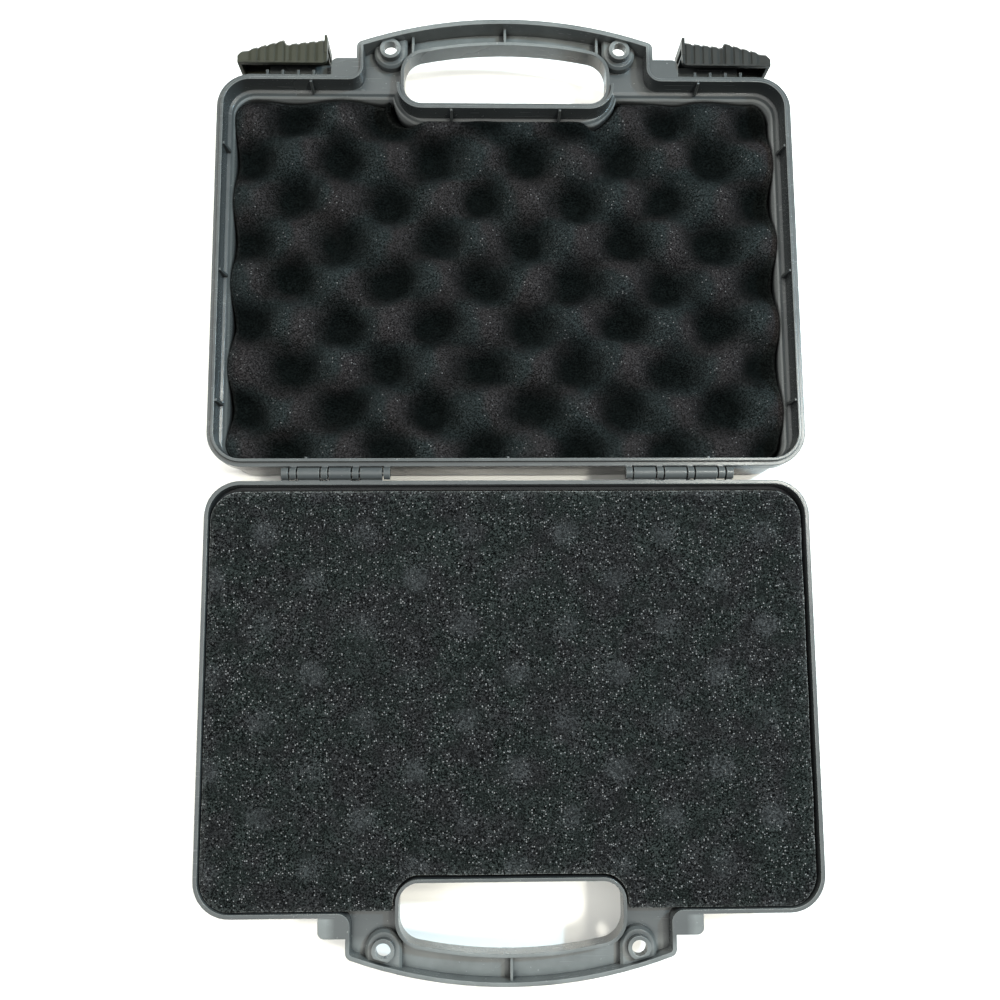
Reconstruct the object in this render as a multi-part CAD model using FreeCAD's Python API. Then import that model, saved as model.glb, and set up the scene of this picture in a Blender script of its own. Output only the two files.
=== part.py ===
import FreeCAD
import Part
import os
from math import ceil, cos, floor, hypot, pi, sin, sqrt, tan

# Hard case for microphones, lying open on its back: the base towards -Y, the lid towards +Y.
# X runs along the hinge, Z is up. The origin is on the table below the middle of the hinge line.
# Each half is drawn in plan as x and v, where v is the distance from the hinge line to the handle.
# All sizes are in millimetres.

# Plan of one half
case_width = 275.0
case_front = 193.8
rear_setback = 3.3
corner_radius = 16.0

# Height of one half and the seam between the two
shell_depth = 38.0
seam_gap = 0.2

# Rim band, the shoulder under it and the walls
band_height = 10.2
shoulder = 4.2
rear_shoulder = 1.2
wall = 2.2
floor_thickness = 2.0
deck_thickness = 1.8
bottom_round = 6.0
inner_bevel = 2.6
band_bevel = 1.2
ledge_round = 2.8
ledge_fall = 3.4
ledge_steps = 3

# Tongue on the lid that drops inside the lip of the base
lip_width = 1.8
tongue_clearance = 0.3
tongue_width = 1.3
tongue_height = 1.8

# Neck, handle and finger opening
neck_half_width = 71.5
neck_corner_radius = 3.5
neck_root_radius = 3.5
handle_reach = 29.1
handle_arc_radius = 213.0
handle_bar = 13.4
opening_half_width = 48.7
opening_set_in = 14.2
opening_body_share = 0.36
opening_bar_share = 0.44
bay_share = 0.82
ring_wall = 1.5
ring_seat_share = 0.4
channel_rib = 1.2
channel_rib_drop = 2.4
lid_rib_offset = 44.5

# Padlock eyes in the handle
eye_half_spacing = 55.3
eye_inset = 15.3
eye_hole_radius = 3.3
eye_boss_radius = 5.0
eye_recess_radius = 6.2
eye_plateau_drop = 3.5
eye_plateau_bevel = 1.2

# Guide ribs inside the rim of the lid
guide_rib = 1.2
guide_rib_proud = 1.0
guide_rib_top = 0.9
guide_rib_foot = 2.2
guide_rib_root = 0.4
front_rib_x = 93.0
ring_rib_x = 26.0
rear_rib_x = 92.0
side_rib_middle = 96.4
side_rib_spacing = 62.2

# Lock tabs beside the neck and the rail that the latch slides on
tab_length = 12.0
tab_reach = 8.6
tab_thickness = 2.0
tab_corner_radius = 3.0
rail_drop = 7.0
rail_lip = 1.8
rail_lip_height = 2.5
rail_gussets = 4
gusset_pitch = 7.4
gusset_first = 19.9
gusset_reach = 2.8
gusset_width = 1.2
gusset_drop = 0.9

# Sliding latch: two thumb wedges over a channel that holds the rail
latch_length = 42.5
latch_travel = 11.5
latch_gap = 0.3
latch_tab_gap = 0.1
latch_rest_gap = 1.5
latch_arm = 2.1
latch_arm_overlap = 5.5
latch_bead = 0.9
latch_edge_radius = 2.5
latch_hook = 2.0
latch_hook_bite = 0.5
latch_end_wall = 1.6
latch_low = 1.0
latch_high = 7.1
latch_step = 2.3
latch_step_run = 0.8
latch_outer_wedge = 22.0
latch_bevel = 1.6
latch_ridges = 4
ridge_pitch = 4.2
ridge_crest_start = 0.15
ridge_crest_end = 0.65
ridge_depth = 0.38
latch_fin = 1.4
latch_fin_proud = 1.6
latch_pocket_depth = 8.0
latch_pocket_near = 1.0
latch_pocket_far = 4.4

# Hinges
hinge_inset = 83.7
barrel_radius = 2.8
pin_radius = 1.25
pin_clearance = 0.05
cap_width = 3.1
lid_knuckle = 2.8
base_knuckle = 9.8
knuckle_gap = 0.77
knuckle_pairs = 3
cap_wall = 1.2

# Foams
foam_gap = 0.3
foam_ring_gap = 1.0
base_foam_drop = 2.0
lid_foam_edge_drop = 14.0
lid_foam_mean_drop = 13.0
lid_foam_wave = 6.5
lid_foam_fade = 9.0
wave_pitch_x = 45.2
wave_pitch_v = 41.6
valley_x = 10.8
valley_v = 32.0
facets_per_half_pitch = 2

# Derived sizes
half_width = case_width / 2
rim_wall = lip_width + tongue_clearance + tongue_width
deck_bottom = shell_depth - band_height
deck_top = deck_bottom + deck_thickness
hinge_height = shell_depth + seam_gap / 2
handle_front = case_front + handle_reach
arc_centre = handle_front - handle_arc_radius
bar_radius = handle_arc_radius - handle_bar
opening_start = case_front - opening_set_in
opening_end = arc_centre + sqrt(bar_radius ** 2 - opening_half_width ** 2)
opening_body_radius = opening_body_share * (opening_end - opening_start)
opening_bar_radius = opening_bar_share * (opening_end - opening_start)
bay_radius = bay_share * opening_set_in
ring_seat_end = opening_start + ring_seat_share * (opening_end - opening_start)
hinge_inner_end = half_width - hinge_inset
eye_v = handle_front - eye_inset
eye_plateau_top = shell_depth - eye_plateau_drop
latch_inner_end = neck_half_width + tab_length + latch_rest_gap
latch_outer_end = latch_inner_end + latch_length
latch_edge = case_front + tab_reach + latch_gap - latch_arm_overlap
latch_back = latch_edge + latch_arm_overlap
latch_top = shell_depth + seam_gap + tab_thickness + latch_tab_gap + latch_arm
latch_bottom = shell_depth - rail_drop - rail_lip - rail_lip_height - latch_gap - latch_arm
rail_end = latch_outer_end - latch_end_wall - latch_travel - latch_gap
above = 5.0


def box(x0, x1, v0, v1, z0, z1):
    return Part.makeBox(x1 - x0, v1 - v0, z1 - z0, FreeCAD.Vector(x0, v0, z0))


def upright_cylinder(radius, x, v, z0, z1):
    return Part.makeCylinder(radius, z1 - z0, FreeCAD.Vector(x, v, z0))


def mirrored_x(shape):
    return shape.mirror(FreeCAD.Vector(0, 0, 0), FreeCAD.Vector(1, 0, 0))


def both_sides(shape):
    return shape.fuse(mirrored_x(shape))


def round_uprights(solid, radius, spots):
    """Round the upright edges that stand at the given x, v spots."""
    chosen = []
    for edge in solid.Edges:
        ends = [vertex.Point for vertex in edge.Vertexes]
        if len(ends) == 2 and hypot(ends[0].x - ends[1].x, ends[0].y - ends[1].y) < 1e-6:
            if any(hypot(ends[0].x - x, ends[0].y - v) < 0.01 for x, v in spots):
                chosen.append(edge)
    return solid.makeFillet(radius, chosen)


def level_edges(solid, height):
    """Every edge that lies at one height."""
    chosen = []
    for edge in solid.Edges:
        if abs(edge.BoundBox.ZMin - height) < 1e-4 and abs(edge.BoundBox.ZMax - height) < 1e-4:
            chosen.append(edge)
    return chosen


def stepped_round(solid, radius, height):
    """Round the edges at one height in three flat steps that touch an arc of the radius."""
    first = radius * (2 - sqrt(2))
    half_step = pi / 16
    second = radius * (1 - tan(half_step)) - first
    solid = solid.makeChamfer(first, level_edges(solid, height))
    edges = level_edges(solid, height) + level_edges(solid, height + first)
    return solid.makeChamfer(second, edges)


def polygon_face(points):
    return Part.Face(Part.makePolygon(points + points[:1]))


def sewn_solid(faces):
    """The solid that a closed set of faces encloses."""
    shell = Part.makeCompound(faces)
    shell.sewShape()
    return Part.Solid(shell.Shells[0])


def outline_of(solid):
    """The outline of a flat-bottomed plate, as a closed wire at its underside."""
    underside = min(solid.Faces, key=lambda face: face.CenterOfMass.z)
    return underside.OuterWire


def grown(outline, distance):
    """The outline offset outwards, or inwards when the distance is negative."""
    if abs(distance) < 1e-9:
        return outline
    return outline.makeOffset2D(distance)


def prism(outline, z0, z1):
    face = Part.Face(outline)
    face.translate(FreeCAD.Vector(0, 0, z0))
    return face.extrude(FreeCAD.Vector(0, 0, z1 - z0))


def arc_v(x, radius):
    """Where the arc about the handle's centre stands at a given x."""
    return arc_centre + sqrt(radius ** 2 - x ** 2)


def body_plate(rear, front):
    plate = box(-half_width, half_width, rear, front, 0, 1)
    corners = [(x, v) for x in (-half_width, half_width) for v in (rear, front)]
    return round_uprights(plate, corner_radius, corners)


def rim_outline():
    """Outer edge of a half at its rim: the body with the neck and the bowed handle."""
    handle = box(-neck_half_width, neck_half_width, case_front - corner_radius, handle_front, 0, 1)
    handle = handle.common(upright_cylinder(handle_arc_radius, 0, arc_centre, 0, 1))
    shoulder_v = arc_v(neck_half_width, handle_arc_radius)
    handle = round_uprights(handle, neck_corner_radius,
                            [(-neck_half_width, shoulder_v), (neck_half_width, shoulder_v)])
    plate = body_plate(rear_setback, case_front).fuse(handle).removeSplitter()
    plate = round_uprights(plate, neck_root_radius,
                           [(-neck_half_width, case_front), (neck_half_width, case_front)])
    return outline_of(plate)


def opening_outline():
    """The finger opening between the body and the handle bar."""
    hole = box(-opening_half_width, opening_half_width, opening_start, handle_front, 0, 1)
    hole = hole.common(upright_cylinder(bar_radius, 0, arc_centre, 0, 1))
    sides = (-opening_half_width, opening_half_width)
    hole = round_uprights(hole, opening_body_radius, [(x, opening_start) for x in sides])
    hole = round_uprights(hole, opening_bar_radius, [(x, opening_end) for x in sides])
    return outline_of(hole)


def deep_outline():
    """The body below the rim band before it is set in by the shoulder, with the finger bay."""
    rear = rear_setback - (shoulder - rear_shoulder)
    plate = body_plate(rear, case_front)
    bay = box(-opening_half_width, opening_half_width, opening_start, case_front + above, 0, 1)
    plate = plate.cut(bay)
    sides = (-opening_half_width, opening_half_width)
    plate = round_uprights(plate, bay_radius, [(x, opening_start) for x in sides])
    return outline_of(plate)


rim = rim_outline()
opening = opening_outline()
deep = deep_outline()


def beside_hinge(solid):
    """The part of a ring about the finger opening that lies on its hinge side."""
    return solid.common(box(-half_width, half_width, 0, ring_seat_end, 0, shell_depth + above))


def hollow(wall_at_rim, wall_at_ring):
    """Everything that is taken out of a half from above, with the walls it leaves standing."""
    top = shell_depth + above
    pocket = prism(grown(rim, -wall_at_rim), deck_top, top)
    ring = prism(grown(opening, ring_wall), deck_top, top)
    pocket = pocket.cut([ring, beside_hinge(prism(grown(opening, wall_at_ring), deck_top, top))])
    inside = shoulder + wall
    cavity = prism(grown(deep, -inside), floor_thickness, deck_top)
    cavity = cavity.makeChamfer(inner_bevel, level_edges(cavity, floor_thickness))
    # The ledge rolls over into the cavity in short slopes that follow a quarter of an ellipse
    sections = []
    for step in range(ledge_steps + 1):
        angle = pi / 2 * step / ledge_steps
        section = grown(deep, -(inside - ledge_round * (1 - cos(angle))))
        section.translate(FreeCAD.Vector(0, 0, deck_top - ledge_fall * (1 - sin(angle))))
        sections.append(section)
    flare = Part.makeLoft(sections, True, True)
    flare = flare.common(prism(grown(rim, -rim_wall), deck_bottom - ledge_fall, deck_top))
    return pocket.fuse([cavity, flare])


def seam_ring(near, far, z0, z1):
    """A band along the rim and the hinge side of the opening, between two distances from the edge."""
    around_rim = prism(grown(rim, -near), z0, z1).cut(prism(grown(rim, -far), z0, z1))
    around_hole = prism(grown(opening, far), z0, z1).cut(prism(grown(opening, near), z0, z1))
    return around_rim.fuse(beside_hinge(around_hole))


def channel_ribs(offsets):
    """Cross ribs in the channel of the handle bar."""
    ribs = []
    for x in offsets:
        near = arc_v(x, bar_radius) - above
        ribs.append(box(x - channel_rib / 2, x + channel_rib / 2, near, handle_front,
                        deck_bottom + deck_thickness / 2, shell_depth - channel_rib_drop))
    return ribs


def eye_plateau():
    """Raised pad under one padlock eye, run out to the outer wall of the handle."""
    radius = eye_recess_radius + deck_thickness
    low = deck_bottom + deck_thickness / 2
    pad = upright_cylinder(radius, eye_half_spacing, eye_v, low, eye_plateau_top)
    run_out = box(eye_half_spacing - radius, eye_half_spacing + radius, eye_v, handle_front,
                  low, eye_plateau_top)
    pad = pad.fuse(run_out).removeSplitter()
    pad = pad.makeChamfer(eye_plateau_bevel, level_edges(pad, eye_plateau_top))
    boss = upright_cylinder(eye_boss_radius, eye_half_spacing, eye_v, low, shell_depth)
    return pad.fuse(boss)


def eye_cuts():
    """The hole through one padlock eye and the round recess under it."""
    hole = upright_cylinder(eye_hole_radius, eye_half_spacing, eye_v, 0, shell_depth + above)
    recess = upright_cylinder(eye_recess_radius, eye_half_spacing, eye_v,
                              deck_bottom - above, eye_plateau_top - deck_thickness)
    return hole.fuse(recess)


def tab():
    """Flat tab in the corner between neck and front wall, gripped by the latch."""
    low = shell_depth - tab_thickness
    outer = neck_half_width + tab_length
    reach = case_front + tab_reach
    plate = box(neck_half_width - lip_width, outer, case_front - lip_width, reach,
                low, shell_depth)
    return round_uprights(plate, tab_corner_radius, [(outer, reach)])


def knuckle_spans():
    """Each hinge knuckle from the inner end outwards: its two x values and the half it is on."""
    spans = []
    x = hinge_inner_end
    for _ in range(knuckle_pairs):
        spans.append((x, x + lid_knuckle, "lid"))
        x += lid_knuckle + knuckle_gap
        spans.append((x, x + base_knuckle, "base"))
        x += base_knuckle + knuckle_gap
    spans.append((x, x + lid_knuckle, "lid"))
    x += lid_knuckle + knuckle_gap
    spans.append((x, x + cap_width, "base"))
    return spans


def knuckles(half):
    """The knuckles of one half at one hinge, each joined to the rear wall by a web."""
    pieces = []
    for x0, x1, owner in knuckle_spans():
        if owner == half:
            barrel = Part.makeCylinder(barrel_radius, x1 - x0,
                                       FreeCAD.Vector(x0, 0, hinge_height), FreeCAD.Vector(1, 0, 0))
            web = box(x0, x1, 0, rear_setback + lip_width / 2,
                      hinge_height - barrel_radius, shell_depth)
            pieces.extend([barrel, web])
    return pieces


def pin_hole():
    """Room for one hinge pin, closed at the outer cap."""
    end = knuckle_spans()[-1][1] - cap_wall
    start = hinge_inner_end - above
    return Part.makeCylinder(pin_radius + pin_clearance, end - start,
                             FreeCAD.Vector(start, 0, hinge_height), FreeCAD.Vector(1, 0, 0))


def half_shell(half, wall_at_rim, wall_at_ring, fittings, ribs):
    """One moulded half: its skin and outer fittings, the hollow, what stands in it, the holes."""
    tub = prism(grown(deep, -shoulder), 0, deck_top)
    tub = stepped_round(tub, bottom_round, 0)
    band = prism(rim, deck_bottom, shell_depth)
    band = band.makeChamfer(band_bevel, level_edges(band, deck_bottom))
    outside = [band]
    for piece in [tab()] + knuckles(half) + fittings:
        outside.append(piece)
        outside.append(mirrored_x(piece))
    shell = tub.fuse(outside).cut(hollow(wall_at_rim, wall_at_ring))
    envelope = prism(rim, deck_bottom, shell_depth)
    inside = [eye_plateau(), mirrored_x(eye_plateau())] + channel_ribs(ribs)
    inside = [piece.common(envelope) for piece in inside]
    shell = shell.fuse(inside)
    cuts = [prism(opening, deck_bottom - above, shell_depth + above)]
    cuts.append(both_sides(eye_cuts()))
    cuts.append(both_sides(pin_hole()))
    return shell.cut(cuts)


def guide_rib_profile():
    """Section of a guide rib: distance from the inner face of the rim, and height."""
    return [(-guide_rib_root, deck_top), (guide_rib_foot, deck_top),
            (guide_rib_top, shell_depth + guide_rib_proud),
            (-guide_rib_root, shell_depth + guide_rib_proud)]


def guide_rib_at(x, v, across_x, inward):
    """One guide rib whose back is at x, v and which points inward along v or along x."""
    points = []
    for depth, height in guide_rib_profile():
        if across_x:
            points.append(FreeCAD.Vector(x + inward * depth, v - guide_rib / 2, height))
        else:
            points.append(FreeCAD.Vector(x - guide_rib / 2, v + inward * depth, height))
    face = polygon_face(points)
    if across_x:
        return face.extrude(FreeCAD.Vector(0, guide_rib, 0))
    return face.extrude(FreeCAD.Vector(guide_rib, 0, 0))


def guide_ribs():
    """All guide ribs of the lid."""
    ribs = []
    for side in (-1, 1):
        ribs.append(guide_rib_at(side * front_rib_x, case_front - rim_wall, False, -1))
        ribs.append(guide_rib_at(side * ring_rib_x, opening_start - rim_wall, False, -1))
        for step in (-1, 0, 1):
            v = side_rib_middle + step * side_rib_spacing
            ribs.append(guide_rib_at(side * (half_width - rim_wall), v, True, -side))
    for step in (-1, 0, 1):
        ribs.append(guide_rib_at(step * rear_rib_x, rear_setback + rim_wall, False, 1))
    return ribs


def latch_rail():
    """Flange with a down-turned lip on the front wall of the lid, held by small gussets."""
    top = shell_depth - rail_drop
    reach = case_front + tab_reach
    flange = box(neck_half_width - lip_width, rail_end, case_front - lip_width, reach,
                 top - rail_lip, top)
    lip = box(neck_half_width, rail_end, reach - rail_lip, reach, top - rail_lip - rail_lip_height, top)
    pieces = [flange, lip]
    for number in range(rail_gussets):
        x = neck_half_width + gusset_first + number * gusset_pitch
        pieces.append(box(x, x + gusset_width, case_front - lip_width / 2,
                          case_front + gusset_reach, top - rail_lip, shell_depth - gusset_drop))
    return pieces


def wedge_profile():
    """Crests and creases of the thumb wedges: x, reach past the channel, depth under the crest."""
    step_x = latch_outer_end - latch_outer_wedge
    wedges = [(latch_inner_end + latch_fin, step_x - latch_step_run, latch_high - latch_step),
              (step_x, latch_outer_end - latch_end_wall, latch_low)]
    profile = [(latch_inner_end, latch_high, 0)]
    for x0, x1, last_reach in wedges:
        slope = (last_reach - latch_high) / (x1 - x0)
        for number in range(latch_ridges):
            for share, depth in ((0, ridge_depth), (ridge_crest_start, 0), (ridge_crest_end, 0)):
                x = x0 + (number + share) * ridge_pitch
                profile.append((x, latch_high + slope * (x - x0), depth))
        x = x0 + latch_ridges * ridge_pitch
        profile.append((x, latch_high + slope * (x - x0), ridge_depth))
        profile.append((x1, last_reach, 0))
    profile.append((latch_outer_end, latch_low - latch_end_wall, 0))
    return profile


def latch_section(x, reach, depth):
    """Cross section of the thumb wedges at one x, with its two outer corners bevelled."""
    out = latch_back + reach - depth
    low = latch_bottom + depth
    high = latch_top - depth
    outline = [(latch_edge, low), (out - latch_bevel, low), (out, low + latch_bevel),
               (out, high - latch_bevel), (out - latch_bevel, high), (latch_edge, high)]
    return [FreeCAD.Vector(x, v, z) for v, z in outline]


def ridged_wedges():
    """The two thumb wedges, each rising towards the neck, with ridges across them."""
    sections = [latch_section(*spot) for spot in wedge_profile()]
    faces = [polygon_face(sections[0]), polygon_face(sections[-1])]
    for near, far in zip(sections, sections[1:]):
        for i in range(len(near)):
            faces.append(polygon_face([near[i - 1], near[i], far[i], far[i - 1]]))
    return sewn_solid(faces)


def latch():
    """Black sliding latch on the right of the lid, in its open position."""
    inner = latch_inner_end
    outer = latch_outer_end
    channel_end = outer - latch_end_wall
    bead = box(inner, outer, latch_edge, latch_edge + latch_bead, latch_bottom, latch_top)
    fin = box(inner, inner + latch_fin, latch_back, latch_back + latch_high + latch_fin_proud,
              latch_bottom, latch_top)
    block = ridged_wedges().fuse([bead, fin])
    # Channel between the two arms, closed at the outer end, and a hollow in the inner end
    channel_low = latch_bottom + latch_arm
    channel_high = latch_top - latch_arm
    channel = box(inner - above, channel_end, latch_edge - above, latch_back,
                  channel_low, channel_high)
    pocket = box(inner - above, inner + latch_pocket_depth, latch_back + latch_pocket_near,
                 latch_back + latch_pocket_far, channel_low, channel_high)
    # The lower arm ends in a hook that reaches up behind the lip of the rail
    hook_out = case_front + tab_reach - rail_lip - latch_gap
    hook_in = hook_out - latch_hook
    hook_top = shell_depth - rail_drop - rail_lip - latch_gap
    lower_trim = box(inner - above, channel_end, latch_edge - above, hook_in,
                     latch_bottom - above, channel_low + latch_hook_bite)
    block = block.cut([channel, pocket, lower_trim])
    hook = box(inner, channel_end, hook_in, hook_out, channel_low - latch_hook_bite, hook_top)
    block = block.fuse(hook)
    frame = box(inner, outer, latch_edge, handle_front, 0, latch_top)
    frame = round_uprights(frame, latch_edge_radius, [(inner, latch_edge)])
    return block.common(frame).removeSplitter()


def hinge_pin():
    """Steel pin of the right hinge."""
    end = knuckle_spans()[-1][1] - cap_wall
    return Part.makeCylinder(pin_radius, end - hinge_inner_end,
                             FreeCAD.Vector(hinge_inner_end, 0, hinge_height),
                             FreeCAD.Vector(1, 0, 0))


def base_foam():
    """Flat block that fills the base and spreads over the ledge under its top."""
    inside = shoulder + wall + foam_gap
    block = prism(grown(deep, -inside), floor_thickness, deck_top + foam_gap)
    block = block.makeChamfer(inner_bevel, level_edges(block, floor_thickness))
    low = deck_top + foam_gap
    high = shell_depth - base_foam_drop
    top = prism(grown(deep, -(lip_width + foam_gap)), low, high)
    top = top.common(prism(grown(rim, -(lip_width + foam_gap)), low, high))
    rear = rear_setback + rear_shoulder + wall + foam_gap
    top = top.common(box(-half_width, half_width, rear, case_front, 0, shell_depth))
    top = top.cut(prism(grown(opening, ring_wall + foam_ring_gap), low, high))
    return block.fuse(top).removeSplitter()


def wave_height(x, v):
    """Height of the egg-crate face of the lid's foam."""
    across = cos(2 * pi * (x - valley_x) / wave_pitch_x)
    along = cos(2 * pi * (v - valley_v) / wave_pitch_v)
    wave = shell_depth - lid_foam_mean_drop - lid_foam_wave * across * along
    edge_x = half_width - shoulder - wall - foam_gap
    edge_rear = rear_setback + rear_shoulder + wall + foam_gap
    edge_front = case_front - shoulder - wall - foam_gap
    near_edge = min(edge_x - abs(x), v - edge_rear, edge_front - v)
    share = min(1.0, max(0.0, near_edge / lid_foam_fade))
    edge = shell_depth - lid_foam_edge_drop
    return edge + (wave - edge) * share


def lid_foam():
    """Egg-crate foam: a faceted wave face on a slab, cut to the cavity of the lid."""
    step_x = wave_pitch_x / 2 / facets_per_half_pitch
    step_v = wave_pitch_v / 2 / facets_per_half_pitch
    first_x = -ceil((half_width + valley_x) / step_x)
    last_x = ceil((half_width - valley_x) / step_x)
    first_v = floor((0 - valley_v) / step_v)
    last_v = ceil((case_front - valley_v) / step_v)

    def top_point(i, j):
        x = valley_x + i * step_x
        v = valley_v + j * step_v
        return FreeCAD.Vector(x, v, wave_height(x, v))

    faces = []
    for i in range(first_x, last_x):
        for j in range(first_v, last_v):
            a, b = top_point(i, j), top_point(i + 1, j)
            c, d = top_point(i + 1, j + 1), top_point(i, j + 1)
            for triple in ((a, b, c), (a, c, d)):
                faces.append(polygon_face(list(triple)))

    def foot(point):
        return FreeCAD.Vector(point.x, point.y, floor_thickness)

    def side(points):
        return polygon_face(points + [foot(points[-1]), foot(points[0])])

    columns = range(first_x, last_x + 1)
    rows = range(first_v, last_v + 1)
    faces.append(side([top_point(i, first_v) for i in columns]))
    faces.append(side([top_point(i, last_v) for i in columns]))
    faces.append(side([top_point(first_x, j) for j in rows]))
    faces.append(side([top_point(last_x, j) for j in rows]))
    corners = [foot(top_point(i, j)) for i, j in ((first_x, first_v), (last_x, first_v),
                                                  (last_x, last_v), (first_x, last_v))]
    faces.append(polygon_face(corners))
    slab = sewn_solid(faces)
    inside = shoulder + wall + foam_gap
    form = prism(grown(deep, -inside), floor_thickness, shell_depth)
    form = form.makeChamfer(inner_bevel, level_edges(form, floor_thickness))
    return form.common(slab)


def to_base(shape):
    """Turn a half drawn on the lid's side over to the base's side."""
    return shape.mirror(FreeCAD.Vector(0, 0, 0), FreeCAD.Vector(0, 1, 0))


def main():
    os.makedirs("parts", exist_ok=True)
    tongue_room = seam_ring(lip_width, rim_wall + tongue_clearance,
                            shell_depth - tongue_height - tongue_clearance, shell_depth + above)
    base = half_shell("base", lip_width, ring_wall, [], [0.0]).cut(tongue_room)
    lid_ribs = [-lid_rib_offset, 0.0, lid_rib_offset]
    lid = half_shell("lid", rim_wall, rim_wall, latch_rail(), lid_ribs)
    tongue = seam_ring(lip_width + tongue_clearance, rim_wall,
                       shell_depth - tongue_height, shell_depth + tongue_height)
    lid = lid.fuse([tongue] + guide_ribs())
    right_latch = latch()
    pin = hinge_pin()
    nodes = {
        "base_shell": to_base(base),
        "base_foam": to_base(base_foam()),
        "lid_shell": lid,
        "lid_foam": lid_foam(),
        "latch_right": right_latch,
        "latch_left": mirrored_x(right_latch),
        "hinge_pin_right": pin,
        "hinge_pin_left": mirrored_x(pin),
    }
    for name, shape in nodes.items():
        shape = shape.removeSplitter()
        print(name, len(shape.Solids), shape.isValid(), round(shape.Volume), shape.BoundBox)
        shape.exportStep("parts/" + name + ".step")


main()
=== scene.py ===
import math

import bpy
import numpy as np
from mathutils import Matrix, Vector
from mathutils.geometry import delaunay_2d_cdt


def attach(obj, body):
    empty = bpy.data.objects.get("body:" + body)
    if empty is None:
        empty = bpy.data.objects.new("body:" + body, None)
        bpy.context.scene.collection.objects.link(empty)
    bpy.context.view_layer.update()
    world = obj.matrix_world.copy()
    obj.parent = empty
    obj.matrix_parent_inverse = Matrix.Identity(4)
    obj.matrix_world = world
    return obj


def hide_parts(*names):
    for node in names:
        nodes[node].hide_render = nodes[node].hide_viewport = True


# Looks of an open case of grey plastic, lined with black foam, on a white table.
# Metres, unless a comment says mm. X runs along the hinge, the base lies towards -Y
# and the lid towards +Y. Colours are linear.

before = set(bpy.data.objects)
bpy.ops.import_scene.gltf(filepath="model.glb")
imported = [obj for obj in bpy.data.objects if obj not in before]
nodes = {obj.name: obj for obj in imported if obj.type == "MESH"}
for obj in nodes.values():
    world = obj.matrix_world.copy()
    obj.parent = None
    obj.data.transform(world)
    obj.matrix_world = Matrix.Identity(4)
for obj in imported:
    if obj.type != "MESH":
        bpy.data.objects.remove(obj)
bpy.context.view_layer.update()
MM = 0.001


# Node helpers

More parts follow.
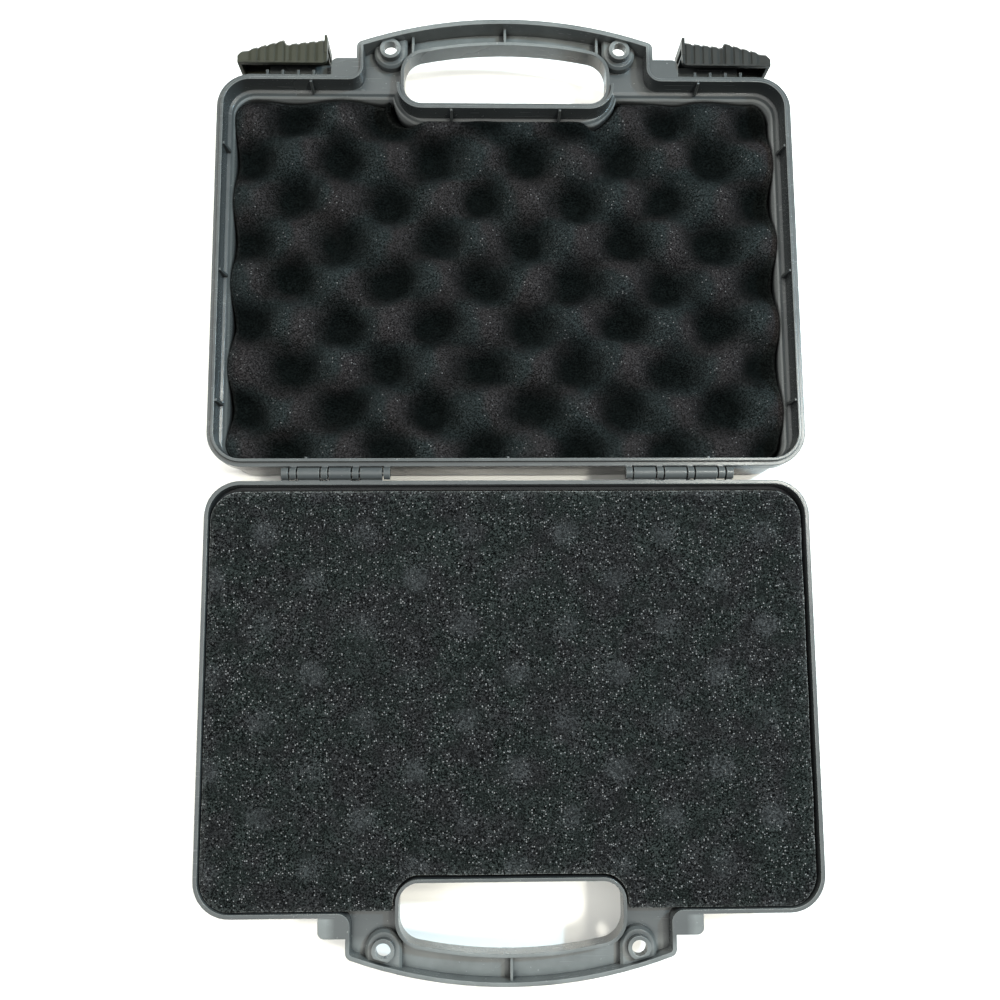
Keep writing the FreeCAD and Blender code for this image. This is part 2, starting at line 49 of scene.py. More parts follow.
class Tree:
    """A material's node tree with short calls for its nodes."""

    def __init__(self, name):
        self.material = bpy.data.materials.new(name)
        self.material.use_nodes = True
        self.tree = self.material.node_tree
        self.tree.nodes.clear()
        output = self.tree.nodes.new("ShaderNodeOutputMaterial")
        self.shader = self.tree.nodes.new("ShaderNodeBsdfPrincipled")
        self.link(self.shader.outputs["BSDF"], output.inputs["Surface"])
        coordinates = self.tree.nodes.new("ShaderNodeTexCoord")
        self.place = coordinates.outputs["Object"]

    def link(self, source, target):
        self.tree.links.new(source, target)

    def put(self, value, socket):
        if isinstance(value, bpy.types.NodeSocket):
            self.link(value, socket)
        else:
            socket.default_value = value

    def scaled(self, scale, turn=(0, 0, 0)):
        """The place in the object, stretched and turned."""
        node = self.tree.nodes.new("ShaderNodeMapping")
        node.inputs["Scale"].default_value = scale
        node.inputs["Rotation"].default_value = turn
        self.link(self.place, node.inputs["Vector"])
        return node.outputs["Vector"]

    def axis(self, name):
        """The place along one axis of the object."""
        node = self.tree.nodes.new("ShaderNodeSeparateXYZ")
        self.link(self.place, node.inputs["Vector"])
        return node.outputs[name]

    def attribute(self, name):
        """A value painted on the mesh."""
        node = self.tree.nodes.new("ShaderNodeAttribute")
        node.attribute_name = name
        return node.outputs["Fac"]

    def openness(self, reach):
        """1 on open faces and 0 deep in a corner."""
        node = self.tree.nodes.new("ShaderNodeAmbientOcclusion")
        node.samples = 4
        node.inputs["Distance"].default_value = reach
        return node.outputs["AO"]

    def noise(self, scale, detail=2.0, rough=0.5, place=None, warp=0.0):
        node = self.tree.nodes.new("ShaderNodeTexNoise")
        node.inputs["Scale"].default_value = scale
        node.inputs["Detail"].default_value = detail
        node.inputs["Roughness"].default_value = rough
        node.inputs["Distortion"].default_value = warp
        self.link(place or self.place, node.inputs["Vector"])
        return node.outputs["Fac"]

    def cells(self, scale, output):
        """Distance to the middle of the nearest cell, or the cell's own random colour."""
        node = self.tree.nodes.new("ShaderNodeTexVoronoi")
        node.inputs["Scale"].default_value = scale
        self.link(self.place, node.inputs["Vector"])
        return node.outputs[output]

    def spread(self, value, low, high, start=0.0, end=1.0, smooth=False):
        """Value mapped from low..high to start..end and clamped."""
        node = self.tree.nodes.new("ShaderNodeMapRange")
        if smooth:
            node.interpolation_type = "SMOOTHSTEP"
        node.inputs["From Min"].default_value = low
        node.inputs["From Max"].default_value = high
        node.inputs["To Min"].default_value = start
        node.inputs["To Max"].default_value = end
        self.link(value, node.inputs["Value"])
        return node.outputs["Result"]

    def math(self, kind, a, b=0.0):
        node = self.tree.nodes.new("ShaderNodeMath")
        node.operation = kind
        self.put(a, node.inputs[0])
        self.put(b, node.inputs[1])
        return node.outputs[0]

    def times(self, a, b):
        return self.math("MULTIPLY", a, b)

    def mix(self, kind, share, a, b):
        node = self.tree.nodes.new("ShaderNodeMix")
        node.data_type = "RGBA"
        node.blend_type = kind
        self.put(share, node.inputs["Factor"])
        for value, socket in ((a, node.inputs["A"]), (b, node.inputs["B"])):
            if isinstance(value, tuple):
                value = value + (1.0,)
            self.put(value, socket)
        return node.outputs["Result"]

    def blend(self, share, a, b):
        """Colour a turning into colour b."""
        return self.mix("MIX", share, a, b)

    def product(self, a, b):
        """Two colours multiplied."""
        return self.mix("MULTIPLY", 1.0, a, b)

    def bump(self, height, distance, strength, normal=None):
        node = self.tree.nodes.new("ShaderNodeBump")
        node.inputs["Strength"].default_value = strength
        node.inputs["Distance"].default_value = distance
        self.link(height, node.inputs["Height"])
        if normal:
            self.link(normal, node.inputs["Normal"])
        return node.outputs["Normal"]

    def soft_edges(self, radius):
        """Normal with rounded edges, and how near an edge the point is."""
        bevel = self.tree.nodes.new("ShaderNodeBevel")
        bevel.samples = 6
        bevel.inputs["Radius"].default_value = radius
        plain = self.tree.nodes.new("ShaderNodeNewGeometry")
        dot = self.tree.nodes.new("ShaderNodeVectorMath")
        dot.operation = "DOT_PRODUCT"
        self.link(bevel.outputs["Normal"], dot.inputs[0])
        self.link(plain.outputs["Normal"], dot.inputs[1])
        near = self.spread(dot.outputs["Value"], 0.995, 0.80)
        return bevel.outputs["Normal"], near

    def finish(self, colour, roughness, normal):
        """Put the look on the shader and give the material."""
        self.put(colour, self.shader.inputs["Base Color"])
        self.put(roughness, self.shader.inputs["Roughness"])
        self.put(normal, self.shader.inputs["Normal"])
        return self.material


# Places on the shells
LEDGE_FOOT, LEDGE_FULL = 17.5 * MM, 24.5 * MM
LEDGE_LIP, LEDGE_TOP = 27.6 * MM, 28.2 * MM
HINGE_FAR, HINGE_NEAR = 13.0 * MM, 9.0 * MM
HINGE_HIGH, HINGE_LOW = 35.2 * MM, 33.5 * MM
FRONT_RIM = (-193.6 * MM, -194.4 * MM)
TAB_SIDE = (76.0 * MM, 80.0 * MM)
HANDLE_START = (203.0 * MM, 208.0 * MM)
FAR_END, FAR_RIGHT = (165 * MM, 180 * MM), (0.1, 0.12)

# Colours of the shells; the ledge, tab and handle, hinge, crevice and edge colours are painted
# light and shade
CHARCOAL = (0.038, 0.042, 0.043), (0.054, 0.058, 0.057)
LEDGE_LIGHT_NEAR, LEDGE_LIGHT_FAR = (0.125, 0.13, 0.125), (0.36, 0.375, 0.37)
TAB_HANDLE_REFLECTION = (0.135, 0.145, 0.142)
HINGE_SHADE = (0.010, 0.011, 0.014)
CREVICE_SHADE = (0.004, 0.005, 0.006)
EDGE_HIGHLIGHT = (0.21, 0.22, 0.21)
HAIRLINE = (0.2, 0.2, 0.2)
DUST = (0.35, 0.35, 0.34)


def scratches(t, scale, turn, low, high):
    """Thin hairlines in one direction."""
    streak = t.noise(1.0, 2.0, 0.5, t.scaled((scale * 0.03, scale, scale), turn))
    patches = t.noise(25.0, 1.0)
    lines = t.spread(streak, low, high)
    return t.times(lines, t.spread(patches, 0.5, 0.62))


def ledge_light_share(t):
    """Where painted light makes the slope between the rim band and the cavity paler."""
    height = t.axis("Z")
    return t.times(t.spread(height, LEDGE_FOOT, LEDGE_FULL, smooth=True),
                   t.spread(height, LEDGE_TOP, LEDGE_LIP))


def hinge_shade_share(t):
    """Where painted shade darkens the walls beside the hinge, below the rims."""
    near_line = t.spread(t.math("ABSOLUTE", t.axis("Y")), HINGE_FAR, HINGE_NEAR)
    return t.times(near_line, t.spread(t.axis("Z"), HINGE_HIGH, HINGE_LOW))


def tab_handle_reflection_share(t):
    """Where a painted reflection lightens the base's lock tabs and the handles."""
    beyond_rim = t.spread(t.axis("Y"), *FRONT_RIM)
    tabs = t.times(beyond_rim, t.spread(t.math("ABSOLUTE", t.axis("X")), *TAB_SIDE))
    handles = t.spread(t.math("ABSOLUTE", t.axis("Y")), *HANDLE_START, 0.0, 0.7)
    cloud = t.spread(t.noise(70.0, 3.0, 0.6), 0.3, 0.7, 0.45, 1.0)
    return t.times(t.math("MAXIMUM", tabs, handles), cloud)


def shell_material():
    """Charcoal moulded plastic with a smooth gloss, faint flow marks, hairlines and dust, with
    painted highlights on its edges, ledge, tabs and handles and painted shade in its corners
    and beside the hinge.
    """
    t = Tree("shell_plastic")
    rounded, edge = t.soft_edges(0.7 * MM)
    flow = t.noise(14.0, 3.0, 0.55, t.scaled((1.0, 2.2, 1.0)), 0.6)
    grain = t.noise(2600.0, 2.0, 0.6)
    dust = t.spread(t.noise(900.0, 1.0), 0.74, 0.80)
    hair = t.math("MAXIMUM", scratches(t, 900.0, (0, 0, 0.5), 0.66, 0.72),
                  scratches(t, 900.0, (0, 0, -0.9), 0.67, 0.73))
    open_air = t.openness(3.2 * MM)
    # Painted shade in corners and crevices, from how open each point is; it also roughens them
    deep = t.spread(open_air, 0.74, 0.34)
    # Painted highlight along the open edges
    edge_highlight_share = t.times(edge, t.spread(open_air, 0.82, 0.97))
    # Where the painted light on the ledge is strongest: the far end and the right side
    far_side = t.math("MAXIMUM", t.spread(t.axis("Y"), *FAR_END),
                      t.spread(t.axis("X"), *FAR_RIGHT))

    colour = t.blend(t.spread(flow, 0.3, 0.7), *CHARCOAL)
    # Painted light on the ledge's slope
    ledge_light = t.blend(far_side, LEDGE_LIGHT_NEAR, LEDGE_LIGHT_FAR)
    colour = t.blend(t.times(ledge_light_share(t), 0.75), colour, ledge_light)
    # Painted reflection on the lock tabs and the handles
    colour = t.blend(tab_handle_reflection_share(t), colour, TAB_HANDLE_REFLECTION)
    # Painted shade beside the hinge
    colour = t.blend(t.times(hinge_shade_share(t), 0.8), colour, HINGE_SHADE)
    # Painted shade in corners and crevices
    colour = t.blend(t.times(deep, 0.85), colour, CREVICE_SHADE)
    patchy = t.spread(t.noise(160.0), 0.35, 0.7, 0.3, 0.8)
    colour = t.blend(t.times(edge_highlight_share, patchy), colour, EDGE_HIGHLIGHT)
    colour = t.blend(t.times(hair, 0.12), colour, HAIRLINE)
    colour = t.blend(t.times(dust, 0.2), colour, DUST)

    rough = t.spread(flow, 0.25, 0.75, 0.18, 0.30)
    rough = t.math("ADD", rough, t.times(t.math("MAXIMUM", hair, dust), 0.2))
    rough = t.math("ADD", rough, t.times(deep, 0.35))
    waves = t.noise(38.0, 2.0, 0.5, None, 0.4)
    normal = t.bump(waves, 0.5 * MM, 0.5, rounded)
    normal = t.bump(grain, 0.02 * MM, 0.5, normal)
    t.shader.inputs["IOR"].default_value = 1.5
    return t.finish(colour, rough, normal)


def latch_material(name, deep, pale):
    """Black moulded nylon, satin, with painted shade in the creases between its ridges and in
    its hollows.
    """
    t = Tree(name)
    rounded, edge = t.soft_edges(0.6 * MM)
    patch = t.noise(90.0, 3.0, 0.6)
    grain = t.noise(3200.0, 2.0, 0.7)
    colour = t.blend(t.spread(patch, 0.3, 0.7), deep, pale)
    # Painted shade along the edges between the ridges
    crease_shade = t.times(edge, t.spread(t.noise(500.0, 2.0), 0.35, 0.65, 0.5, 0.85))
    colour = t.blend(crease_shade, colour, (0.006, 0.006, 0.0045))
    # Painted shade in the hollows
    hollow_shade = t.spread(t.openness(1.6 * MM), 0.84, 0.50, 0.0, 0.9)
    colour = t.blend(hollow_shade, colour, (0.0015, 0.0015, 0.0012))
    return t.finish(colour, t.spread(patch, 0.3, 0.7, 0.40, 0.56),
                    t.bump(grain, 0.03 * MM, 0.7, rounded))


def pin_material():
    """Drawn steel wire with lines along it and a few dull spots."""
    t = Tree("pin_steel")
    lines = t.noise(1.0, 3.0, 0.6, t.scaled((60.0, 5000.0, 5000.0)))
    spots = t.spread(t.noise(420.0, 3.0, 0.6), 0.52, 0.66)
    colour = t.blend(spots, (0.20, 0.20, 0.195), (0.10, 0.095, 0.09))
    rough = t.math("ADD", t.spread(lines, 0.3, 0.7, 0.36, 0.5), t.times(spots, 0.25))
    t.shader.inputs["Metallic"].default_value = 1.0
    return t.finish(colour, rough, t.bump(lines, 0.02 * MM, 0.6))


def cell_foam(t, body, glint_colour, share, glint_strength, lively):
    """Open cells over a body colour: fine grain, dark pores and a few painted glints.

    A share of the cells carries a painted glint, whose colour and strength are given.
    Where lively is 0 the skin is smooth, where it is 1 the cells stand out.
    """
    grain = t.noise(1250.0, 2.0, 0.8)
    mottle = t.noise(560.0, 3.0, 0.7)
    pores = t.spread(t.cells(1450.0, "Distance"), 0.30, 0.12)
    pick = t.tree.nodes.new("ShaderNodeSeparateColor")
    t.link(t.cells(1150.0, "Color"), pick.inputs["Color"])

    tone = t.math("ADD", t.times(t.spread(grain, 0.455, 0.585), 0.95),
                  t.times(t.spread(mottle, 0.32, 0.68), 0.2))
    dark = t.blend(lively, (0.45, 0.45, 0.45), (0.0, 0.0, 0.0))
    light = t.blend(lively, (1.1, 1.1, 1.1), (2.1, 2.1, 2.1))
    colour = t.product(body, t.blend(tone, dark, light))
    colour = t.blend(t.times(pores, 0.7), colour, (0.001, 0.001, 0.001))
    # Painted glints on a share of the cells
    chosen = t.spread(pick.outputs["Red"], 1.0 - share, 1.0 - share * 0.3)
    inner = t.spread(t.cells(1150.0, "Distance"), 0.44, 0.20)
    colour = t.blend(t.times(t.times(chosen, inner), glint_strength), colour, glint_colour)

    normal = t.bump(mottle, 0.4 * MM, 0.5)
    normal = t.bump(grain, 0.35 * MM, 0.8, normal)
    t.shader.inputs["Specular IOR Level"].default_value = 0.02
    return t.finish(colour, 0.95, normal)


def lid_foam_material():
    """Black egg-crate foam, with painted shade in the valleys, painted light on the peaks, a
    painted cool and warm tint on its slopes, and painted glints on the peaks.
    """
    t = Tree("lid_foam_cells")
    cloud = t.noise(60.0, 4.0, 0.65)
    crest = t.math("ADD", t.attribute("crest"), t.spread(cloud, 0.3, 0.7, -0.16, 0.16))
    # Painted light tint: cool on slopes facing left, warm on slopes facing right
    warm_light_side = t.math("ADD", t.attribute("lean"),
                  t.spread(t.noise(35.0, 3.0), 0.35, 0.65, -0.3, 0.3))
    tint = t.blend(t.spread(warm_light_side, 0.3, 0.7), (0.0122, 0.0150, 0.0152), (0.0158, 0.0144, 0.0147))
    # Painted shade in the valleys and painted light on the peaks
    body = t.blend(t.spread(crest, 0.0, 1.0, smooth=True), (0.0021, 0.0028, 0.0027), tint)
    body = t.blend(t.times(t.attribute("cut"), 0.08), body, (0.05, 0.051, 0.05))
    # Painted glints, strongest on the peaks
    return cell_foam(t, body, (0.11, 0.108, 0.108), 0.06, t.spread(crest, 0.45, 0.85),
                     t.spread(t.noise(90.0, 2.0), 0.35, 0.65, 0.12, 0.5))


def base_foam_material():
    """Black flat foam with lively grain, paler where the lid's peaks have rubbed it."""
    t = Tree("base_foam_cells")
    cloud = t.noise(45.0, 4.0, 0.65)
    tint = t.blend(t.spread(t.noise(70.0, 3.0), 0.4, 0.6),
                   (0.0100, 0.0121, 0.0115), (0.0114, 0.0116, 0.0120))
    body = t.blend(t.spread(cloud, 0.3, 0.7), t.product(tint, (0.78, 0.78, 0.78)), tint)
    body = t.blend(t.times(t.attribute("mark"), 0.75), body, (0.028, 0.030, 0.031))
    pale = t.spread(t.noise(22.0, 2.0), 0.35, 0.6, 0.3, 1.0)
    body = t.blend(t.times(t.attribute("cut"), pale), body, (0.085, 0.088, 0.085))
    patch = t.spread(t.noise(110.0, 3.0, 0.6), 0.36, 0.56, 0.2, 1.0)
    lively = t.times(patch, t.spread(t.attribute("mark"), 0.2, 0.9, 1.0, 0.35))
    # Painted glints on a share of the cells
    return cell_foam(t, body, (0.15, 0.15, 0.15), 0.2,
                     t.spread(lively, 0.1, 0.7, 0.25, 1.0), lively)


def floor_material():
    """White table top with a very faint mottle."""
    t = Tree("table_white")
    colour = t.blend(t.noise(6.0, 4.0, 0.6), (0.80, 0.785, 0.75), (0.84, 0.83, 0.80))
    return t.finish(colour, 0.6, t.bump(t.noise(300.0, 3.0), 0.1 * MM, 0.3))


# Foams. From here to the meshes all lengths are in mm.

# Outlines: half width, rear, front, corner, and the finger bay's half length, centre and radius
LID_SHAPE = (130.8, 7.0, 187.1, 9.3, (37.06, 191.24, 18.34))
BASE_SHAPE = (135.4, 7.0, 191.7, 13.4, (40.1, 188.2, 11.1))
LIP = 1.2
FOOT = 2.0

# Egg-crate wave of the lid's foam
PITCH_X, PITCH_Y = 45.2, 41.6
VALLEY_X, VALLEY_Y = 10.8, 32.0
WAVE_MEAN, WAVE_HALF = 25.0, 6.5
LID_EDGE = 24.5
BAY_TOP = 30.2
# Where the lid's foam leaves a gap at its cut corners beside the bay
CUT_CORNERS = ((-54.0, 183.0), (49.0, 182.0))

# Marks on the base's foam
MARK_PITCH_X, MARK_PITCH_Y = 45.4, 42.0
MARK_X, MARK_Y = 3.1, -90.0
BASE_TOP = 35.75
ROOT_TOP = 30.1

# Share of the paler colour on the rim of a foam's top face
RIM_PALE_SHARE = 0.15


def arc(centre_x, centre_y, radius, start, end, step):
    """Points along an arc from one angle in degrees to another."""
    count = max(2, round(abs(math.radians(end - start)) * radius / step))
    angles = [math.radians(start + (end - start) * k / count) for k in range(count + 1)]
    return [(centre_x + radius * math.cos(a), centre_y + radius * math.sin(a)) for a in angles]


def half_outline(width, rear, front, corner, bay, step):
    """Counter-clockwise outline of a foam with the finger bay in its +Y edge.

    The bay is given by the centre and radius of its right-hand arc.
    """
    bay_x, bay_y, bay_radius = bay
    angle = math.degrees(math.asin(max(0.0, (bay_y - front + LIP) / bay_radius)))
    mouth = bay_x + bay_radius * math.cos(math.radians(angle))
    points = arc(-width + corner, rear + corner, corner, 180, 270, step)
    points += arc(width - corner, rear + corner, corner, 270, 360, step)
    points += arc(width - corner, front - corner, corner, 0, 90, step)
    points += arc(mouth + LIP, front - LIP, LIP, 90, 180, 0.5)
    points += arc(bay_x, bay_y, bay_radius, -angle, -90, step)
    points += arc(-bay_x, bay_y, bay_radius, -90, -180 + angle, step)
    points += arc(-mouth - LIP, front - LIP, LIP, 0, 90, 0.5)
    points += arc(-width + corner, front - corner, corner, 90, 180, step)
    dense = []
    for i, a in enumerate(points):
        b = points[(i + 1) % len(points)]
        gap = math.hypot(b[0] - a[0], b[1] - a[1])
        if gap < 0.05:
            continue
        pieces = max(1, round(gap / step))
        for k in range(pieces):
            share = k / pieces
            dense.append((a[0] + (b[0] - a[0]) * share, a[1] + (b[1] - a[1]) * share))
    return np.array(dense)


def mirrored(loop):
    """The same outline on the base's side, still counter-clockwise."""
    return (loop * (1, -1))[::-1].copy()


def inward(loop):
    """Unit normals of a counter-clockwise loop that point into it."""
    along = np.roll(loop, -1, 0) - np.roll(loop, 1, 0)
    along /= np.linalg.norm(along, axis=1)[:, None]
    return np.stack([-along[:, 1], along[:, 0]], 1)


def level_ring(loop, z):
    """A flat ring of points above a loop."""
    return np.column_stack([loop, np.full(len(loop), z)])


def bay_gap(x, y, bay):
    """How far a point lies from the edge of the finger bay."""
    bay_x, bay_y, bay_radius = bay
    return np.hypot(np.maximum(np.abs(x) - bay_x, 0), bay_y - y) - bay_radius


def edge_gap(x, y, shape):
    """How far a point inside a foam lies from its outline."""
    width, rear, front, corner, bay = shape
    across = np.abs(x) - (width - corner)
    along = np.abs(y - (rear + front) / 2) - ((front - rear) / 2 - corner)
    beyond = (np.hypot(np.maximum(across, 0), np.maximum(along, 0))
              + np.minimum(np.maximum(across, along), 0))
    return np.minimum(corner - beyond, bay_gap(x, y, bay))


def smooth_step(value):
    value = np.clip(value, 0.0, 1.0)
    return value * value * (3 - 2 * value)


def smooth_noise(x, y, seed, pitch, octaves):
    """Gentle uneven surface between about -1 and 1, the same on every run."""
    rng = np.random.default_rng(seed)
    total = np.zeros(np.shape(x))
    for octave in range(octaves):
        for _ in range(5):
            angle = rng.uniform(0, 2 * math.pi)
            phase = rng.uniform(0, 2 * math.pi)
            length = pitch / 2 ** octave * rng.uniform(0.8, 1.3)
            wave = (x * math.cos(angle) + y * math.sin(angle)) / length
            total += np.sin(2 * math.pi * wave + phase) / 2 ** octave / 4
    return total


def inside_loop(points, loop, margin):
    """Which points lie inside a loop, at least a margin from its points."""
    x, y = points[:, 0], points[:, 1]
    inside = np.zeros(len(points), bool)
    ax, ay = loop[:, 0], loop[:, 1]
    bx, by = np.roll(ax, -1), np.roll(ay, -1)
    for i in range(len(loop)):
        crosses = (ay[i] > y) != (by[i] > y)
        if crosses.any():
            at = ax[i] + (y - ay[i]) * (bx[i] - ax[i]) / ((by[i] - ay[i]) or 1e-12)
            inside ^= crosses & (x < at)
    near = np.full(len(points), 1e9)
    for start in range(0, len(loop), 64):
        part = loop[start:start + 64]
        gap = np.hypot(x[:, None] - part[None, :, 0], y[:, None] - part[None, :, 1]).min(1)
        near = np.minimum(near, gap)
    return inside & (near > margin)


def rolled_block(outline, height_at, step, edge, lower):
    """Closed block: a relief on top, a rolled edge, then the lower rings and a flat foot.

    Comes with a value for each point, which is 1 on the rolled edge.
    """
    normals = inward(outline)
    rings = []
    roll = (90, 65, 40, 15, 0)
    for angle in roll:
        a = math.radians(angle)
        ring = outline + normals * edge * (1 - math.cos(a))
        top = height_at(ring[:, 0], ring[:, 1])
        rings.append(np.column_stack([ring, top - edge * (1 - math.sin(a))]))
    rings.extend(lower(rings[-1]))

    top_ring = rings[0]
    low, high = top_ring[:, :2].min(0), top_ring[:, :2].max(0)
    xs = np.arange(low[0], high[0], step)
    ys = np.arange(low[1], high[1], step)
    grid = np.array([(x, y) for j, y in enumerate(ys) for x in xs + (j % 2) * step / 2])
    grid = grid[inside_loop(grid, top_ring[:, :2], step * 0.6)]
    flat = [Vector(p) for p in np.vstack([top_ring[:, :2], grid])]
    loop = list(range(len(top_ring)))
    verts2, _, faces2, _, _, _ = delaunay_2d_cdt(flat, [], [loop], 1, 1e-7)
    xy = np.array([tuple(v) for v in verts2])
    verts = [tuple(v) for v in np.column_stack([xy, height_at(xy[:, 0], xy[:, 1])])]
    faces = [tuple(f) for f in faces2]

    count = len(top_ring)
    cut = [RIM_PALE_SHARE] * count + [0.0] * (len(verts) - count)
    previous = loop
    for number, ring in enumerate(rings[1:], 1):
        start = len(verts)
        cut += [1.0 if number < len(roll) else 0.0] * count
        verts.extend(tuple(v) for v in ring)
        current = list(range(start, start + count))
        for k in range(count):
            n = (k + 1) % count
            faces.append((previous[k], current[k], current[n], previous[n]))
        previous = current
    faces.append(tuple(reversed(previous)))
    return verts, faces, cut


def foam_object(name, blocks, painted):
    """One mesh of some closed blocks, with values painted on its points from their place."""
    verts, faces, cut = [], [], []
    for block_verts, block_faces, block_cut in blocks:
        start = len(verts)
        verts.extend(block_verts)
        cut.extend(block_cut)
        faces.extend(tuple(index + start for index in face) for face in block_faces)
    mesh = bpy.data.meshes.new(name)
    co = np.array(verts)
    mesh.from_pydata((co * MM).tolist(), [], faces)
    painted = {label: value_at(co[:, 0], co[:, 1]) for label, value_at in painted.items()}
    painted["cut"] = np.array(cut)
    for label, values in painted.items():
        layer = mesh.attributes.new(label, "FLOAT", "POINT")
        layer.data.foreach_set("value", values.astype(np.float32))
    mesh.validate()
    mesh.shade_smooth()
    piece = bpy.data.objects.new(name, mesh)
    bpy.context.collection.objects.link(piece)
    return piece


def lattice(x, y):
    """1 at the valleys, -1 at the peaks, a little out of true as cut foam is."""
    x = x + 2.0 * smooth_noise(x, y, 3, 70.0, 2)
    y = y + 2.0 * smooth_noise(x, y, 4, 60.0, 2)
    return (np.cos(2 * np.pi * (x - VALLEY_X) / PITCH_X)
            * np.cos(2 * np.pi * (y - VALLEY_Y) / PITCH_Y))


def lid_relief(x, y):
    """Broad peaks and round valleys, a little flatter towards the foam's edge.

    Beside the finger bay the foam rises onto the ledge.
    """
    wave = lattice(x, y)
    wave = np.sign(wave) * np.abs(wave) ** 0.85
    height = WAVE_MEAN - WAVE_HALF * wave + 0.4 * smooth_noise(x, y, 5, 38.0, 3)
    share = smooth_step(edge_gap(x, y, LID_SHAPE) / 12.0)
    height = LID_EDGE + (height - LID_EDGE) * (0.7 + 0.3 * share)
    rise = (smooth_step(1 - bay_gap(x, y, LID_SHAPE[4]) / 11.0)
            * smooth_step((46 - np.abs(x)) / 8))
    return height + (BAY_TOP - height) * rise


def lid_edge(loop):
    """How far the lid foam's edge lies inside its outline.

    It draws back beside each valley and swells over the ledge at each peak. It lies over
    the ledge round the bay, and its cut corners leave a gap beside the bay.
    """
    x, y = loop[:, 0], loop[:, 1]
    wave = lattice(x, y)
    over = smooth_step((44 - np.abs(x)) / 8) * (y > 150)
    inset = 0.15 + 1.3 * np.maximum(wave, 0) - 1.5 * np.maximum(-wave, 0)
    inset = inset * (1 - over) - 2.2 * over + 0.3 * smooth_noise(x, y, 6, 20.0, 2)
    for corner_x, corner_y in CUT_CORNERS:
        inset += 2.6 * np.exp(-((x - corner_x) ** 2 + (y - corner_y) ** 2) / 8.0 ** 2)
    return inset


def crest(x, y):
    """0 in the valleys, 1 on the peaks."""
    return np.clip(0.5 - 0.62 * lattice(x, y) + 0.1 * smooth_noise(x, y, 7, 30.0, 2), 0, 1)


def lean(x, y):
    """0 where the wave faces left, 1 where it faces right."""
    slope = (lattice(x + 1, y) - lattice(x - 1, y)) / 2 * PITCH_X / (2 * math.pi)
    return np.clip(0.5 + 0.6 * slope + 0.25 * smooth_noise(x, y, 8, 55.0, 2), 0, 1)


def contact(x, y):
    """Round marks where the lid's peaks have pressed on the foam."""
    wave = (np.cos(2 * np.pi * (x - MARK_X) / MARK_PITCH_X)
            * np.cos(2 * np.pi * (y - MARK_Y) / MARK_PITCH_Y))
    spots = np.clip((wave - 0.55) / 0.35, 0, 1)
    strength = 0.65 + 0.5 * smooth_noise(x, y, 12, 60.0, 2)
    ragged = 1 + 0.35 * smooth_noise(x, y, 13, 7.0, 2)
    return np.clip(spots * strength * ragged, 0, 1)


def base_relief(x, y):
    """Flat foam, a little hollow and uneven, pressed in where the lid's peaks rest on it."""
    dip = 0.2 * np.clip(1 - edge_gap(x, -y, BASE_SHAPE) / 8.0, 0, 1) ** 2
    return BASE_TOP + 0.18 * smooth_noise(x, y, 11, 70.0, 3) - dip - 0.2 * contact(x, y)


def lid_block():
    """The egg-crate foam: its edge bulges, and a waist runs round it below."""
    outline = half_outline(*LID_SHAPE, 1.4)
    edge = outline + inward(outline) * lid_edge(outline)[:, None]

    def lower(rim):
        rings = []
        for z, gap in ((0.0, 0.25), (-9.0, 0.9), (-16.0, 0.3)):
            ring = outline + inward(outline) * gap
            rings.append(np.column_stack([ring, np.minimum(rim[:, 2] - 1.5, 25.0) + z]))
        rings.append(level_ring(outline, FOOT))
        return rings

    return rolled_block(edge, lid_relief, 1.8, 1.8, lower)


def base_slab():
    """The flat foam on the base's ledge, cut a little short at the rear and at the right."""
    outline = mirrored(half_outline(*BASE_SHAPE, 1.4))
    x, y = outline[:, 0], outline[:, 1]
    drawn = (0.8 * smooth_step((y + 22) / 12)
             + 1.0 * smooth_step((x - 124) / 8) * smooth_step((y + 195) / 12))
    inset = 0.1 + 0.12 * smooth_noise(x, y, 14, 30.0, 3) + np.minimum(drawn, 1.1)
    edge = outline + inward(outline) * inset[:, None]

    def lower(rim):
        return [level_ring(outline + inward(outline) * (gap + share * inset)[:, None], z)
                for z, gap, share in ((33.5, 0.25, 0.9), (31.5, 0.15, 0.8), (29.9, 0.25, 0.7))]

    return rolled_block(edge, base_relief, 2.2, 0.45, lower)


def base_root():
    """The foam below the slab, which fills the base's cavity."""
    outline = mirrored(half_outline(*LID_SHAPE, 2.5))

    def flat_top(x, y):
        return np.full(np.shape(x), ROOT_TOP)

    def lower(rim):
        return [level_ring(outline, z) for z in (16.0, FOOT)]

    return rolled_block(outline, flat_top, 12.0, 0.2, lower)


lid_foam = foam_object("lid_foam_soft", [lid_block()], {"crest": crest, "lean": lean})
base_foam = foam_object("base_foam_soft", [base_slab(), base_root()], {"mark": contact})

lid_foam.data.materials.append(lid_foam_material())
base_foam.data.materials.append(base_foam_material())
for piece, body, node in ((lid_foam, "lid", "lid_foam"), (base_foam, "base", "base_foam")):
    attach(piece, body)
    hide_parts(node)


# Materials of the rigid pieces
# The two latches are one part: the left one is painted lighter and olive, the right one darker,
# as light falls on each
LATCH_PAINTED_LIT = (0.0160, 0.0164, 0.0098), (0.0235, 0.0238, 0.0150)
LATCH_PAINTED_SHADED = (0.0055, 0.0058, 0.0045), (0.0092, 0.0096, 0.0078)
shell, pin = shell_material(), pin_material()
looks = {
    "base_shell": shell,
    "lid_shell": shell,
    "latch_left": latch_material("latch_painted_lit", *LATCH_PAINTED_LIT),
    "latch_right": latch_material("latch_painted_shaded", *LATCH_PAINTED_SHADED),
    "hinge_pin_left": pin,
    "hinge_pin_right": pin,
}
for name, material in looks.items():
    piece = nodes[name]
    for slot in piece.material_slots:
        slot.material = material
    if not piece.material_slots:
        piece.data.materials.append(material)


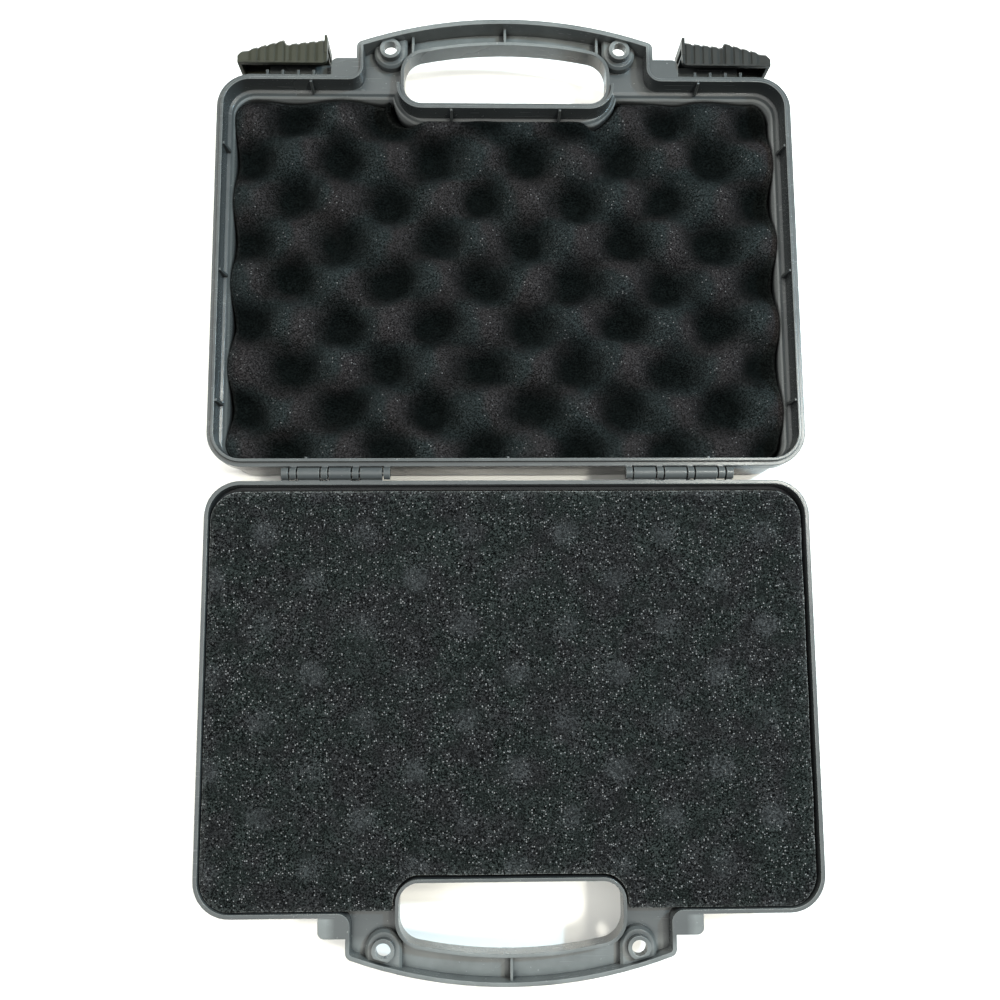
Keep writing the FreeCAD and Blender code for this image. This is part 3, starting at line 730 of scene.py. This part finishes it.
# Table
bpy.ops.mesh.primitive_grid_add(x_subdivisions=8, y_subdivisions=8, size=6.0)
table = bpy.context.object
table.name = "table_top"
table.data.materials.append(floor_material())


# World: brighter at the horizon and overhead, bluish low and warm high
HORIZON = (0.05, 0.15, 0.9, 0.2)
ZENITH = (0.78, 0.95, 0.0, 1.8)
LOW_SKY, HIGH_SKY = (0.72, 0.90, 1.12, 1.0), (1.0, 0.99, 0.96, 1.0)
BACKDROP = (0.93, 0.93, 0.92, 1.0)

world = bpy.data.worlds.new("studio")
bpy.context.scene.world = world
world.use_nodes = True
sky_nodes, sky_link = world.node_tree.nodes, world.node_tree.links.new
direction = sky_nodes.new("ShaderNodeTexCoord")
upward = sky_nodes.new("ShaderNodeSeparateXYZ")
sky_link(direction.outputs["Generated"], upward.inputs["Vector"])
both = sky_nodes.new("ShaderNodeMath")
for index, ramp in enumerate((HORIZON, ZENITH)):
    level = sky_nodes.new("ShaderNodeMapRange")
    for socket, value in zip(("From Min", "From Max", "To Min", "To Max"), ramp):
        level.inputs[socket].default_value = value
    sky_link(upward.outputs["Z"], level.inputs["Value"])
    sky_link(level.outputs["Result"], both.inputs[index])
hue = sky_nodes.new("ShaderNodeMix")
hue.data_type = "RGBA"
hue.inputs["A"].default_value = LOW_SKY
hue.inputs["B"].default_value = HIGH_SKY
sky_link(upward.outputs["Z"], hue.inputs["Factor"])
background = sky_nodes["Background"]
sky_link(both.outputs[0], background.inputs["Strength"])
sky_link(hue.outputs["Result"], background.inputs["Color"])

# Seen directly, the world is one plain pale backdrop
backdrop = sky_nodes.new("ShaderNodeBackground")
backdrop.inputs["Color"].default_value = BACKDROP
ray = sky_nodes.new("ShaderNodeLightPath")
either = sky_nodes.new("ShaderNodeMixShader")
sky_link(ray.outputs["Is Camera Ray"], either.inputs["Fac"])
sky_link(background.outputs["Background"], either.inputs[1])
sky_link(backdrop.outputs["Background"], either.inputs[2])
sky_link(either.outputs["Shader"], sky_nodes["World Output"].inputs["Surface"])


# Lights: place, the point aimed at, size, power in watts, colour and whether gloss shows it.
# The small glossy ones make the highlights, and the others brighten the surfaces.
CENTRE, LID_SIDE = (0, 0, 0), (0, 0.05, 0)
WINDOW, LAMP = (0.79, 0.38, 1.24), (0.56, 0.28, 1.55)
BLUISH, YELLOWISH, WHITE = (0.66, 1.0, 1.22), (1.0, 0.98, 0.88), (1.0, 1.0, 0.95)
LIGHTS = {
    "window": (WINDOW, CENTRE, 0.10, 6.0, BLUISH, True),
    "lamp": (LAMP, CENTRE, 0.16, 8.0, YELLOWISH, True),
    "window_matt": (WINDOW, LID_SIDE, 0.10, 12.0, BLUISH, False),
    "lamp_matt": ((0.56, -0.12, 1.55), LID_SIDE, 0.16, 17.0, YELLOWISH, False),
    "soft": ((-0.25, 1.50, 1.60), LID_SIDE, 1.0, 36.0, WHITE, False),
    "fill": ((-1.0, -0.05, 1.7), LID_SIDE, 1.0, 19.0, WHITE, False),
}
for name, (place, aim, size, power, colour, glossy) in LIGHTS.items():
    data = bpy.data.lights.new(name, "AREA")
    data.shape = "DISK"
    data.size = size
    data.energy = power
    data.color = colour
    light = bpy.data.objects.new(name, data)
    bpy.context.collection.objects.link(light)
    light.location = place
    light.rotation_euler = (Vector(aim) - Vector(place)).to_track_quat("-Z", "Y").to_euler()
    light.visible_glossy = glossy


# Camera, solved from the rims, the handles and the hinge line in the photo
camera_data = bpy.data.cameras.new("camera")
camera_data.lens = 37.8
camera_data.sensor_width = 36.0
camera_data.clip_start = 0.01
camera_data.clip_end = 50.0
camera = bpy.data.objects.new("camera", camera_data)
bpy.context.collection.objects.link(camera)
camera.location = (-0.01539, -0.07624, 0.51129)
camera.rotation_euler = (0.1343, -0.0236, -0.0062)
bpy.context.scene.camera = camera
bpy.context.scene.view_settings.view_transform = "Standard"
